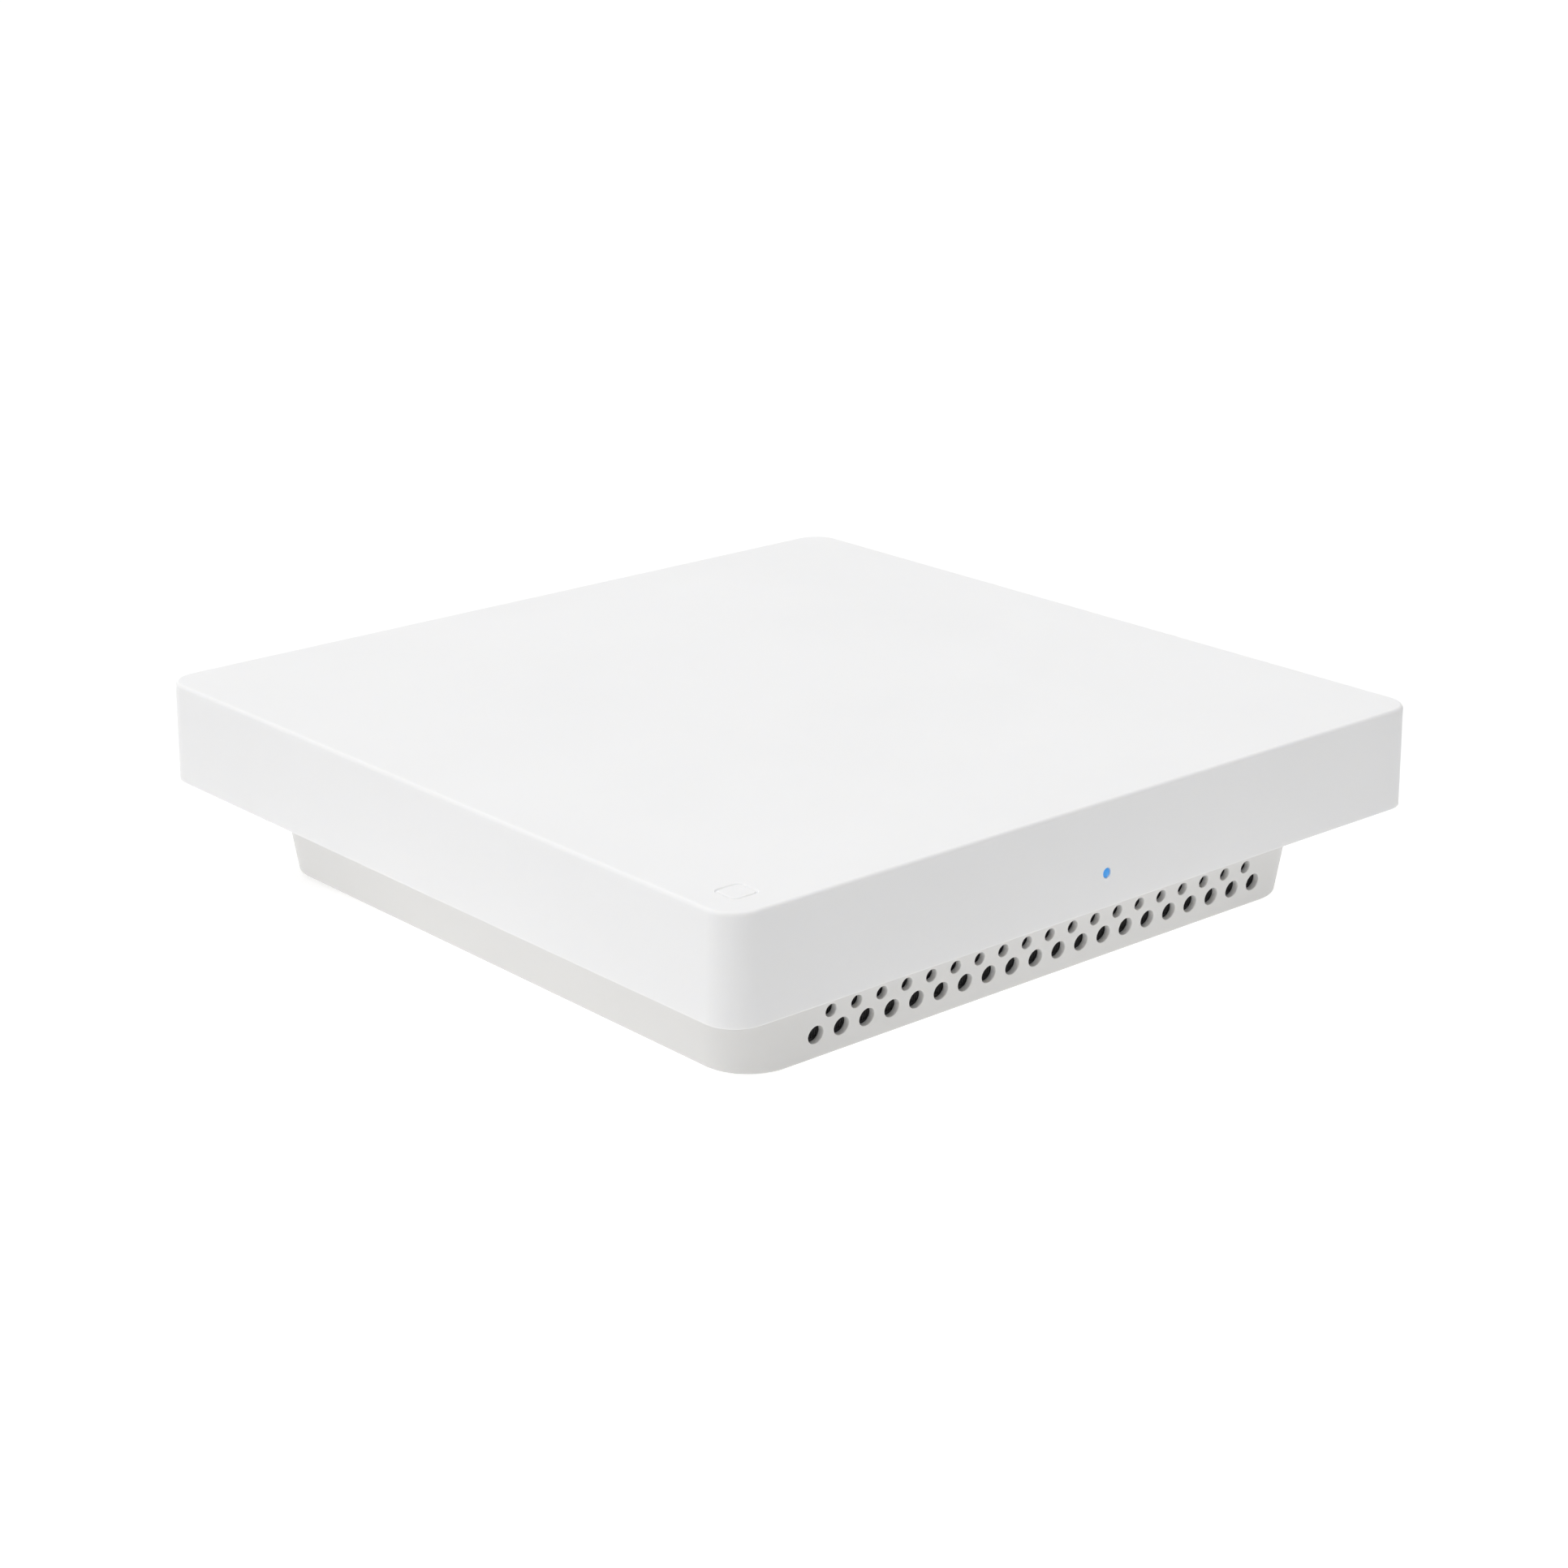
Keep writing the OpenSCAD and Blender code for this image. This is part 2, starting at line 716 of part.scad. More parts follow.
// Lead from its plug over the board, up through the plate and out to its antenna
module lead(run) {
  climb = run[0] + run[1];
  turn_z = lead_low + lead_bend;
  top_turn_z = lead_high - lead_bend;
  translate([run[0] + plug_l, 0, lead_low]) rotate([0, 90, 0]) cylinder(r = lead_r, h = run[1] - plug_l);
  translate([climb, 0, turn_z]) rotate([90, 0, 0]) rotate([0, 0, -90]) rotate_extrude(angle = 90)
    translate([lead_bend, 0]) circle(r = lead_r);
  translate([climb + lead_bend, 0, turn_z]) cylinder(r = lead_r, h = top_turn_z - turn_z);
  translate([climb + 2 * lead_bend, 0, top_turn_z]) rotate([90, 0, 0]) rotate([0, 0, 90])
    rotate_extrude(angle = 90) translate([lead_bend, 0]) circle(r = lead_r);
  translate([climb + 2 * lead_bend, 0, lead_high]) rotate([0, 90, 0])
    cylinder(r = lead_r, h = run[2] - climb - 2 * lead_bend);
}

module antenna_leads() {
  color("gray") {
    around(small_run, 0) lead(small_run);
    around(large_run, 45) lead(large_run);
  }
}

module plug(run) {
  translate([run[0], 0, board_top + 1]) {
    cylinder(d = 2.6, h = 1.3);
    box(0, plug_l, -0.8, 0.8, 0, 1.3);
  }
}

module lead_plugs() {
  color("gold") {
    around(small_run, 0) plug(small_run);
    around(large_run, 45) plug(large_run);
  }
}

module socket(run) {
  translate([run[0], 0, board_top]) cylinder(d = 2, h = 1);
}

module lead_sockets() {
  color("gold") {
    around(small_run, 0) socket(small_run);
    around(large_run, 45) socket(large_run);
  }
}

top_cover();
base_housing();
rear_panel();
rubber_feet();
mounting_inserts();
rating_label();
dust_screen();
cover_screws();
light_pipe();
status_led();
main_board();
board_screws();
system_on_chip();
memory_chips();
flash_chip();
radio_chips();
crystals();
chip_capacitors();
thermal_pads();
heatsink();
heatsink_screws();
shield_frame(shield_rear);  // shield_frame_rear
shield_frame(shield_front);  // shield_frame_front
shield_lid(shield_rear);  // shield_lid_rear
shield_lid(shield_front);  // shield_lid_front
ethernet_transformers();
poe_transformer();
bulk_capacitors();
power_inductors();
jack_shield(wan_x);  // wan_jack_shield
jack_shield(lan_x);  // lan_jack_shield
jack_insert(wan_x);  // wan_jack_insert
jack_insert(lan_x);  // lan_jack_insert
jack_contacts(wan_x);  // wan_jack_contacts
jack_contacts(lan_x);  // lan_jack_contacts
jack_link_lights();
power_jack();
power_jack_pin();
pairing_button();
switch_body(pairing_x);  // pairing_switch
switch_stem(pairing_x);  // pairing_switch_stem
reset_button();
switch_body(reset_x);  // reset_switch
switch_stem(reset_x);  // reset_switch_stem
antenna_plate();
plate_standoffs();
plate_screws();
for (i = [1 : antenna_count])
  small_antenna(i - 1);
for (i = [1 : antenna_count])
  large_antenna(i - 1);
antenna_leads();
lead_plugs();
lead_sockets();
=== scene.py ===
"""Wireless router: finer shells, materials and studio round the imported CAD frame.

Metres, +Z up. -Y is the front with the vents, and +Y the side with the ports.
"""
import json
import math

import bmesh
import bpy
from mathutils import Matrix, Vector


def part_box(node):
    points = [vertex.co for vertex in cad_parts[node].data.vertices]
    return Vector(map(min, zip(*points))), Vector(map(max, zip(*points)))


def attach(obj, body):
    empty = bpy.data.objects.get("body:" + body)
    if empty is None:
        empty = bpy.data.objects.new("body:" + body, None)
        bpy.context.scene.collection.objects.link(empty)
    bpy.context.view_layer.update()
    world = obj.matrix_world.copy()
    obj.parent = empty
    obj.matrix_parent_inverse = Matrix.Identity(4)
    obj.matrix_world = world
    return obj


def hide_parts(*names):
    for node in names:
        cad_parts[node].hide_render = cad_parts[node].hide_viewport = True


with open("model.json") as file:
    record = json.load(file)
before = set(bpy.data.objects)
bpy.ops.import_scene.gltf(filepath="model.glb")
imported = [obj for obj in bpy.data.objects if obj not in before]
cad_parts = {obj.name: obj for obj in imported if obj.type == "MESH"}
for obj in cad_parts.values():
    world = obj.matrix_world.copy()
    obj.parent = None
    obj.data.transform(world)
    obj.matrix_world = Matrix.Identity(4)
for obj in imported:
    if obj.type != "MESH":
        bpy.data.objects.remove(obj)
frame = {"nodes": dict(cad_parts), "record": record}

bpy.context.view_layer.update()
NODES = frame["nodes"]
MM = 0.001


# ---- Sizes, read from the frame where a node gives them ----

def low(node):
    """Lowest corner of a CAD node's box."""
    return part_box(node)[0]


def high(node):
    """Highest corner of a CAD node's box."""
    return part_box(node)[1]


def middle(node):
    """Middle of a CAD node's box."""
    return (low(node) + high(node)) / 2


HALF = high("top_cover").x              # half the cover's side at its rim
TOP = high("top_cover").z
RIM = low("top_cover").z
WALL = 2.2 * MM                         # the cover's walls and the base's floor
COVER_CORNER = 7.5 * MM
COVER_DRAFT = 0.35 * MM
COVER_EDGE = 0.9 * MM
RIM_EDGE = 0.15 * MM
CORNER_STEPS = 20

BOTTOM = low("base_housing").z
BASE_CENTRE = 70.8 * MM                 # middle of the base's corner arcs
BASE_CORNER = 11.5 * MM
BASE_DRAFT = 0.156
BASE_EDGE = 0.8 * MM
BASE_WALL = 1.6 * MM
FLOOR = BOTTOM + WALL
FLANGE_HALF = high("base_housing").x
FLANGE_LOW = RIM + 0.8 * MM
FLANGE_HIGH = FLANGE_LOW + 2 * MM
FLANGE_CORNER = COVER_CORNER - WALL

VENT_PITCH = 6.85 * MM
VENT_SHIFT = 1.4 * MM
VENT_ROWS = ((20, 4 * MM, BOTTOM + 5.7 * MM), (19, 2.9 * MM, BOTTOM + 10.25 * MM))

PIPE_X = middle("light_pipe").x
PIPE_D = high("light_pipe").x - low("light_pipe").x
PIPE_Z = high("light_pipe").z - PIPE_D / 2
PIPE_BEND = 4 * MM

BOARD_LOW = low("main_board").z
BOARD_POSTS = [(x * MM, y * MM) for x in (-72, 72) for y in (-70, 0, 70)]
BOARD_POST_D = 7 * MM
BOARD_HOLE_DEEP = 9 * MM
SCREW_HOLE_D = 3 * MM                   # the holes that the screws cut their thread in
SCREW_CLEAR_D = 3.4 * MM                # the holes that they pass through
SCREW_HEAD_D = 5.6 * MM
SCREW_POS = high("cover_screws").x - SCREW_HEAD_D / 2
SCREW_SEAT = FLANGE_LOW + 2.4 * MM      # where the heads sit in the base's posts
POST_MEET = FLANGE_LOW + 4.5 * MM       # where the base's and the cover's screw posts meet
COVER_POST_D = 8 * MM
COVER_HOLE_DEEP = 10 * MM
BASE_POST_D = 9 * MM
PANEL_FACE = high("rear_panel").y
PANEL_BACK = low("rear_panel").y
PANEL_GAP = 0.05 * MM
POCKET_HALF = 52 * MM
POCKET_LOW = FLOOR + 1.4 * MM
POCKET_HIGH = RIM - 1.6 * MM
GUIDE_X = 53 * MM                       # middle of the stops over the ends of the panel
GUIDE_LIP = 1.6 * MM
GUIDE_HIGH = 18 * MM
STAY_Y = -92 * MM                       # middle of the stay that holds up the light pipe
STAY_HALF = 2.5 * MM
STAY_THICK = 2 * MM
SILL_HALF = 46 * MM                     # half the width of the ridge along the panel's foot
INSERT_POS = high("mounting_inserts").x - 2.975 * MM
INSERT_D = 6 * MM
INSERT_BORE = 6 * MM                    # depth of the holes that the inserts are pressed into
INSERT_BOSS_D = 10 * MM
INSERT_BOSS_HIGH = 8 * MM
FOOT_D = 14 * MM
FOOT_POS = high("rubber_feet").x - FOOT_D / 2
FOOT_TOP = high("rubber_feet").z
EMBLEM_POS = HALF - 10.5 * MM
EMBLEM_W = 7 * MM
EMBLEM_LINE = 0.7 * MM
EMBLEM_CORNER = 1.8 * MM
EMBLEM_DEEP = 0.2 * MM

COVER_SOFT = 0.07 * MM                  # rounding of the small edges that the moulds leave
BASE_SOFT = 0.16 * MM
FIT = 0.1 * MM                          # room round the light pipe and the feet in their holes
SUNK = 0.01 * MM                        # how far a post starts inside the wall that it joins
PAST = 1 * MM                           # how far a cutting tool reaches past the surface that it cuts
NEAR = 0.02 * MM                        # how close to a face a point counts as on it
SHARP = 40                              # degrees from which an edge shows as sharp


# ---- Mesh helpers ----

def mesh_object(name, bm):
    """Turns the mesh that bm holds into an object in the scene."""
    bmesh.ops.recalc_face_normals(bm, faces=bm.faces)
    mesh = bpy.data.meshes.new(name)
    bm.to_mesh(mesh)
    bm.free()
    obj = bpy.data.objects.new(name, mesh)
    bpy.context.scene.collection.objects.link(obj)
    return obj


def square_loop(half, radius, z, x=0.0, y=0.0, steps=CORNER_STEPS):
    """Points round a square of that half width, its corners turned with that radius, at height z."""
    points = []
    for quarter, (sx, sy) in enumerate(((1, 1), (-1, 1), (-1, -1), (1, -1))):
        for i in range(steps + 1):
            a = math.radians(90 * (quarter + i / steps))
            points.append(Vector((x + sx * (half - radius) + radius * math.cos(a),
                                  y + sy * (half - radius) + radius * math.sin(a), z)))
    return points


def edge_turn(half, radius, z, r, start, end, steps):
    """Rows of (half width, corner radius, height) round an edge of radius r, centred at height z."""
    rows = []
    for i in range(steps + 1):
        a = math.radians(start + (end - start) * i / steps)
        inset = r - r * math.cos(a)
        rows.append((half - inset, radius - inset, z + r * math.sin(a)))
    return rows


def add_loft(bm, loops, closed=False):
    """Skins through a list of loops. The ends are filled, or joined to each other when closed."""
    rings = [[bm.verts.new(p) for p in loop] for loop in loops]
    pairs = list(zip(rings, rings[1:]))
    if closed:
        pairs.append((rings[-1], rings[0]))
    for one, other in pairs:
        n = len(one)
        for i in range(n):
            bm.faces.new((one[i], one[(i + 1) % n], other[(i + 1) % n], other[i]))
    if not closed:
        bm.faces.new(list(reversed(rings[0])))
        bm.faces.new(rings[-1])


def add_box(bm, corner, opposite):
    """Box between two opposite corners, the lower one first."""
    size = [b - a for a, b in zip(corner, opposite)]
    centre = [(a + b) / 2 for a, b in zip(corner, opposite)]
    bmesh.ops.create_cube(bm, size=1, matrix=Matrix.Translation(centre) @ Matrix.Diagonal((*size, 1)))


def add_rod(bm, start, end, radius, steps=48):
    """Cylinder from one point to another."""
    start, end = Vector(start), Vector(end)
    turn = (end - start).to_track_quat("Z", "Y").to_matrix().to_4x4()
    bmesh.ops.create_cone(bm, cap_ends=True, segments=steps, radius1=radius, radius2=radius,
                          depth=(end - start).length, matrix=Matrix.Translation((start + end) / 2) @ turn)


def add_turned(bm, profile, matrix, steps=48, closed=False):
    """Solid turned round Z through (radius, height) points, then placed by the matrix."""
    loops = []
    for radius, z in profile:
        angles = [math.tau * i / steps for i in range(steps)]
        loops.append([matrix @ Vector((radius * math.cos(a), radius * math.sin(a), z)) for a in angles])
    add_loft(bm, loops, closed)


def add_tube(bm, path, radii, steps=12):
    """Round bar swept along a list of points with a radius at each, and flat ends."""
    loops = []
    for i, (point, radius) in enumerate(zip(path, radii)):
        ahead = path[min(i + 1, len(path) - 1)] - path[max(i - 1, 0)]
        ring_turn = ahead.to_track_quat("Z", "X").to_matrix()
        ring = [(math.cos(math.tau * k / steps), math.sin(math.tau * k / steps), 0) for k in range(steps)]
        loops.append([point + radius * (ring_turn @ Vector(p)) for p in ring])
    add_loft(bm, loops)


def add_frame(bm, width, height, bar, depth):
    """Flat rectangular frame in XZ, centred on x 0 and standing on z 0, from y 0 to its depth."""
    def loop(inset, y):
        across, bottom, top = width / 2 - inset, inset, height - inset
        return [Vector((-across, y, bottom)), Vector((across, y, bottom)), Vector((across, y, top)),
                Vector((-across, y, top))]
    add_loft(bm, [loop(0, 0), loop(0, depth), loop(bar, depth), loop(bar, 0)], closed=True)


def solid(name, build):
    """Object whose mesh build(bm) fills."""
    bm = bmesh.new()
    build(bm)
    return mesh_object(name, bm)


def bake(obj):
    """Makes the evaluated mesh the object's own mesh."""
    bpy.context.view_layer.update()
    evaluated = obj.evaluated_get(bpy.context.evaluated_depsgraph_get())
    mesh = bpy.data.meshes.new_from_object(evaluated)
    mesh.name = obj.name
    obj.modifiers.clear()
    obj.data = mesh


def combine(obj, operation, build):
    """Joins, cuts or intersects obj with the solid that build(bm) makes."""
    tool = solid("tool", build)
    step = obj.modifiers.new("step", "BOOLEAN")
    step.operation = operation
    step.solver = "EXACT"
    step.object = tool
    bake(obj)
    bpy.data.objects.remove(tool)


def finish_edges(obj, width, outside, angle):
    """Rounds the convex edges whose ends outside(point) accepts, and keeps flat faces flat in the shading."""
    bm = bmesh.new()
    bm.from_mesh(obj.data)
    chosen = bm.edges.layers.float.new("bevel_weight_edge")
    for edge in bm.edges:
        sharp = edge.is_convex and edge.calc_face_angle(0) > math.radians(angle)
        if sharp and all(outside(v.co) for v in edge.verts):
            edge[chosen] = 1
    bm.to_mesh(obj.data)
    bm.free()
    bevel = obj.modifiers.new("edges", "BEVEL")
    bevel.width = width
    bevel.segments = 3
    bevel.limit_method = "WEIGHT"
    bevel.use_clamp_overlap = False
    bake(obj)
    shade(obj)


def shade(obj):
    """Smooth shading that breaks at sharp edges and keeps flat faces flat."""
    for polygon in obj.data.polygons:
        polygon.use_smooth = True
    obj.data.set_sharp_from_angle(angle=math.radians(SHARP))
    weighted = obj.modifiers.new("flat", "WEIGHTED_NORMAL")
    weighted.mode = "FACE_AREA"
    weighted.keep_sharp = True
    bake(obj)


def ease(node, width):
    """Rounds the edges of a CAD node's shown mesh a little by modifiers. Its own mesh stays as packed."""
    obj = NODES[node]
    weld = obj.modifiers.new("weld", "WELD")
    weld.merge_threshold = 0.002 * MM
    flat = obj.modifiers.new("flat faces", "DECIMATE")
    flat.decimate_type = "DISSOLVE"
    flat.angle_limit = math.radians(1.5)
    bevel = obj.modifiers.new("edges", "BEVEL")
    bevel.width = width
    bevel.segments = 2
    bevel.limit_method = "ANGLE"
    bevel.angle_limit = math.radians(50)
    weighted = obj.modifiers.new("shading", "WEIGHTED_NORMAL")
    weighted.mode = "FACE_AREA"


def corners(distance):
    """The four points on the table at that distance from both middle planes."""
    return [(x, y, 0) for x in (-distance, distance) for y in (-distance, distance)]


# ---- Shells ----

def cover_shell():
    """The cover as one skin: up inside, round the rim, up the outer wall and over the rounded top edge."""
    inner, inner_corner = HALF - WALL, COVER_CORNER - WALL
    top_half, top_corner = HALF - COVER_DRAFT, COVER_CORNER - COVER_DRAFT
    bevel = 0.2 * MM
    rows = [(inner - COVER_DRAFT, inner_corner - COVER_DRAFT, TOP - WALL),
            (inner, inner_corner, RIM + bevel),
            (inner + bevel, inner_corner + bevel, RIM)]
    rows += edge_turn(HALF, COVER_CORNER, RIM + RIM_EDGE, RIM_EDGE, -90, 0, 4)
    rows += edge_turn(top_half, top_corner, TOP - COVER_EDGE, COVER_EDGE, 0, 90, 8)
    shell = solid("cover_shell", lambda bm: add_loft(bm, [square_loop(*row) for row in rows]))

    def posts(bm):
        for x, y, _ in corners(SCREW_POS):
            add_rod(bm, (x, y, POST_MEET), (x, y, TOP - WALL / 2), COVER_POST_D / 2)

    def holes(bm):
        for x, y, _ in corners(SCREW_POS):
            add_rod(bm, (x, y, POST_MEET - PAST), (x, y, POST_MEET + COVER_HOLE_DEEP), SCREW_HOLE_D / 2, 32)
        start, end = -HALF - PAST, -HALF + WALL + PAST
        add_rod(bm, (PIPE_X, start, PIPE_Z), (PIPE_X, end, PIPE_Z), PIPE_D / 2 + FIT)

    def groove(bm):
        """A shallow line whose sides slope, round a plain square."""
        half, radius = (EMBLEM_W - EMBLEM_LINE) / 2, EMBLEM_CORNER - EMBLEM_LINE / 2
        wide, narrow = 0.36 * MM, 0.16 * MM  # half the line's width at the surface and at its bottom
        profile = ((narrow, -EMBLEM_DEEP), (wide, 0), (wide, PAST), (-wide, PAST), (-wide, 0),
                   (-narrow, -EMBLEM_DEEP))
        loops = []
        for offset, z in profile:
            spot = (TOP + z, -EMBLEM_POS, -EMBLEM_POS)
            loops.append(square_loop(half + offset, radius + offset, *spot, 10))
        add_loft(bm, loops, closed=True)

    def outside(p):
        """Whether the point is on the front wall, on the top or in its groove."""
        return p.y < -top_half + NEAR or p.z > TOP - EMBLEM_DEEP - NEAR

    combine(shell, "UNION", posts)
    combine(shell, "DIFFERENCE", holes)
    combine(shell, "DIFFERENCE", groove)
    finish_edges(shell, COVER_SOFT, outside, 40)
    return shell


def lean(z):
    """How far the base's wall has leaned out at height z."""
    return BASE_DRAFT * (z - BOTTOM)


def base_row(radius, z):
    """A row of the base, whose corner arcs all share their middles."""
    return BASE_CENTRE + radius, radius, z


def outer_lean(z):
    """Corner radius of the base's outer wall at height z, which starts to lean above its rounded edge."""
    start = BOTTOM + BASE_EDGE
    return BASE_CORNER + lean(FLANGE_HIGH) * (z - start) / (FLANGE_HIGH - start)


def vents(bm):
    """Rods through the front wall, one for each vent."""
    front = -BASE_CENTRE - BASE_CORNER
    for count, d, z in VENT_ROWS:
        for i in range(count):
            x = VENT_SHIFT + (i - (count - 1) / 2) * VENT_PITCH
            add_rod(bm, (x, front - 6 * MM, z), (x, front + 4 * MM, z), d / 2, 40)


def base_shell():
    """The base as one skin: floor, up inside, over the flange that carries the cover, and down outside."""
    inner, bevel = BASE_CORNER - BASE_WALL, 1 * MM
    rows = [base_row(inner + lean(FLOOR) - bevel, FLOOR),
            base_row(inner + lean(FLOOR + bevel), FLOOR + bevel),
            base_row(inner + lean(FLANGE_HIGH), FLANGE_HIGH),
            (FLANGE_HALF, FLANGE_CORNER, FLANGE_HIGH),
            (FLANGE_HALF, FLANGE_CORNER, FLANGE_LOW),
            base_row(outer_lean(FLANGE_LOW), FLANGE_LOW)]
    outer = BASE_CENTRE + BASE_CORNER
    rows += reversed(edge_turn(outer, BASE_CORNER, BOTTOM + BASE_EDGE, BASE_EDGE, -90, 0, 6))
    shell = solid("base_shell", lambda bm: add_loft(bm, [square_loop(*row) for row in rows]))
    start = FLOOR - SUNK

    def pocket_frame(bm):
        """Block inside the rear wall that the ports' pocket is cut from."""
        near, across = PANEL_FACE + 0.25 * MM, POCKET_HALF + BASE_WALL
        far = BASE_CENTRE - BASE_WALL / 2
        profile = [(near, start), (far + outer_lean(start), start), (far + outer_lean(RIM), RIM), (near, RIM)]
        add_loft(bm, [[Vector((side * across, y, z)) for y, z in profile] for side in (-1, 1)])

    def posts(bm):
        for x, y in BOARD_POSTS:
            add_rod(bm, (x, y, start), (x, y, BOARD_LOW), BOARD_POST_D / 2)
        for x, y, _ in corners(INSERT_POS):
            add_rod(bm, (x, y, start), (x, y, INSERT_BOSS_HIGH), INSERT_BOSS_D / 2)
        for x, y, _ in corners(SCREW_POS):
            add_rod(bm, (x, y, FLANGE_LOW + 1 * MM), (x, y, POST_MEET), BASE_POST_D / 2)

    def guides(bm):
        """Lips before and behind the panel's ends, a ridge along its foot, and a stay for the light pipe."""
        for side in (-1, 1):
            for near in (PANEL_BACK - GUIDE_LIP, PANEL_FACE + PANEL_GAP):
                x, far = side * GUIDE_X, near + GUIDE_LIP - PANEL_GAP
                add_box(bm, (x - GUIDE_LIP, near, start), (x + GUIDE_LIP, far, GUIDE_HIGH))
        near, far = PANEL_BACK - GUIDE_LIP, PANEL_BACK - PANEL_GAP
        add_box(bm, (-SILL_HALF, near, start), (SILL_HALF, far, FLOOR + GUIDE_LIP))
        near, far = STAY_Y - STAY_THICK / 2, STAY_Y + STAY_THICK / 2
        add_box(bm, (PIPE_X - STAY_HALF, near, FLANGE_HIGH - SUNK), (PIPE_X + STAY_HALF, far, PIPE_Z))

    def holes(bm):
        for x, y in BOARD_POSTS:
            foot, top = (x, y, BOARD_LOW - BOARD_HOLE_DEEP), (x, y, BOARD_LOW + PAST)
            add_rod(bm, foot, top, SCREW_HOLE_D / 2, 32)
        for x, y, _ in corners(INSERT_POS):
            add_rod(bm, (x, y, BOTTOM - PAST), (x, y, BOTTOM + INSERT_BORE), INSERT_D / 2)
        for x, y, _ in corners(SCREW_POS):
            add_rod(bm, (x, y, FLANGE_LOW - PAST), (x, y, POST_MEET + PAST), SCREW_CLEAR_D / 2, 32)
        for x, y, _ in corners(FOOT_POS):
            add_rod(bm, (x, y, BOTTOM - PAST), (x, y, FOOT_TOP), FOOT_D / 2 + FIT, 64)
        beyond, reach = 95 * MM, STAY_THICK / 2 + PAST
        add_box(bm, (-POCKET_HALF, PANEL_FACE, POCKET_LOW), (POCKET_HALF, beyond, POCKET_HIGH))
        near, far = (PIPE_X, STAY_Y - reach, PIPE_Z), (PIPE_X, STAY_Y + reach, PIPE_Z)
        add_rod(bm, near, far, PIPE_D / 2 + FIT / 2, 32)

    def screw_seats(bm):
        for x, y, _ in corners(SCREW_POS):
            add_rod(bm, (x, y, FLANGE_LOW - PAST), (x, y, SCREW_SEAT), SCREW_HEAD_D / 2 + 0.3 * MM)

    def outside(p):
        """Whether the point is on the base's bottom, on its outer wall or under the flange."""
        out = max(abs(p.x), abs(p.y))
        if p.z > FLANGE_LOW - NEAR:
            return p.z < FLANGE_LOW + NEAR and out > BASE_CENTRE + outer_lean(FLANGE_LOW) - NEAR
        return p.z < BOTTOM + NEAR or out > BASE_CENTRE + outer_lean(p.z) - NEAR

    combine(shell, "UNION", pocket_frame)
    combine(shell, "UNION", lambda bm: (posts(bm), guides(bm)))
    for cut in (holes, screw_seats, vents):
        combine(shell, "DIFFERENCE", cut)
    finish_edges(shell, BASE_SOFT, outside, 50)
    return shell


# ---- Pieces that stand for plainer CAD nodes ----

def dust_screen(bm):
    """Net behind the vents: a frame, two crossing layers of fine strands and a filter cloth behind them."""
    width = high("dust_screen").x - low("dust_screen").x
    height, depth = 13 * MM, 0.6 * MM
    bar, pitch, strand = 1.2 * MM, 0.62 * MM, 0.12 * MM
    add_frame(bm, width, height, bar, depth)
    across, reach = width / 2 - bar, bar / 2
    near_layer, far_layer = strand + 0.03 * MM, 2.8 * strand
    for i in range(int(2 * across / pitch)):
        x = -across + (i + 0.5) * pitch
        add_rod(bm, (x, near_layer, reach), (x, near_layer, height - reach), strand, 6)
    for i in range(int((height - 2 * bar) / pitch)):
        z = bar + (i + 0.5) * pitch
        add_rod(bm, (-across - reach, far_layer, z), (across + reach, far_layer, z), strand, 6)
    cloth_near, cloth_far = depth - 0.12 * MM, depth - 0.03 * MM
    add_box(bm, (-across - reach, cloth_near, reach), (across + reach, cloth_far, height - reach))
    slope = math.atan(BASE_DRAFT)
    start = FLOOR + 1 * MM
    inner = BASE_CENTRE + BASE_CORNER - BASE_WALL / math.cos(slope) - 0.1 * MM
    place = Matrix.Translation((VENT_SHIFT, -inner - lean(start), start)) @ Matrix.Rotation(slope, 4, "X")
    bmesh.ops.transform(bm, matrix=place, verts=bm.verts)


def light_pipe(bm):
    """Clear rod from the status light up, round its bend and out to the cover's face, with a domed end."""
    radius, dome = PIPE_D / 2, 0.3 * MM
    upright, front = high("light_pipe").y - radius, low("light_pipe").y
    path = [Vector((PIPE_X, upright, low("light_pipe").z))]
    for i in range(13):
        a = math.radians(90 * i / 12)
        path.append(Vector((PIPE_X, upright - PIPE_BEND + PIPE_BEND * math.cos(a),
                            PIPE_Z - PIPE_BEND + PIPE_BEND * math.sin(a))))
    radii = [radius] * len(path)
    for i in range(8):
        a = math.radians(12 * i)
        path.append(Vector((PIPE_X, front + dome * (1 - math.sin(a)), PIPE_Z)))
        radii.append(radius * math.cos(a))
    add_tube(bm, path, radii, 40)


def contact_wires(x_middle):
    """Eight sprung wires: each runs forward under the jack's roof, turns back and slopes into the opening."""
    wires, pitch, thick, turn = 8, 1.02 * MM, 0.34 * MM, 0.42 * MM
    front, bend = high("wan_jack_shield").y - 2.9 * MM, BOARD_LOW - 1.7 * MM

    def build(bm):
        for i in range(wires):
            x = x_middle + (i - (wires - 1) / 2) * pitch
            path = [Vector((x, front - 11 * MM, bend + turn))]
            for k in range(9):
                a = math.radians(90 - 165 * k / 8)
                path.append(Vector((x, front + turn * math.cos(a), bend + turn * math.sin(a))))
            path.append(path[-1] + Vector((0, -7.8 * MM, -2.1 * MM)))
            path.append(path[-1] + Vector((0, -0.5 * MM, 0)))
            add_tube(bm, path, [thick / 2] * len(path), 8)
    return build


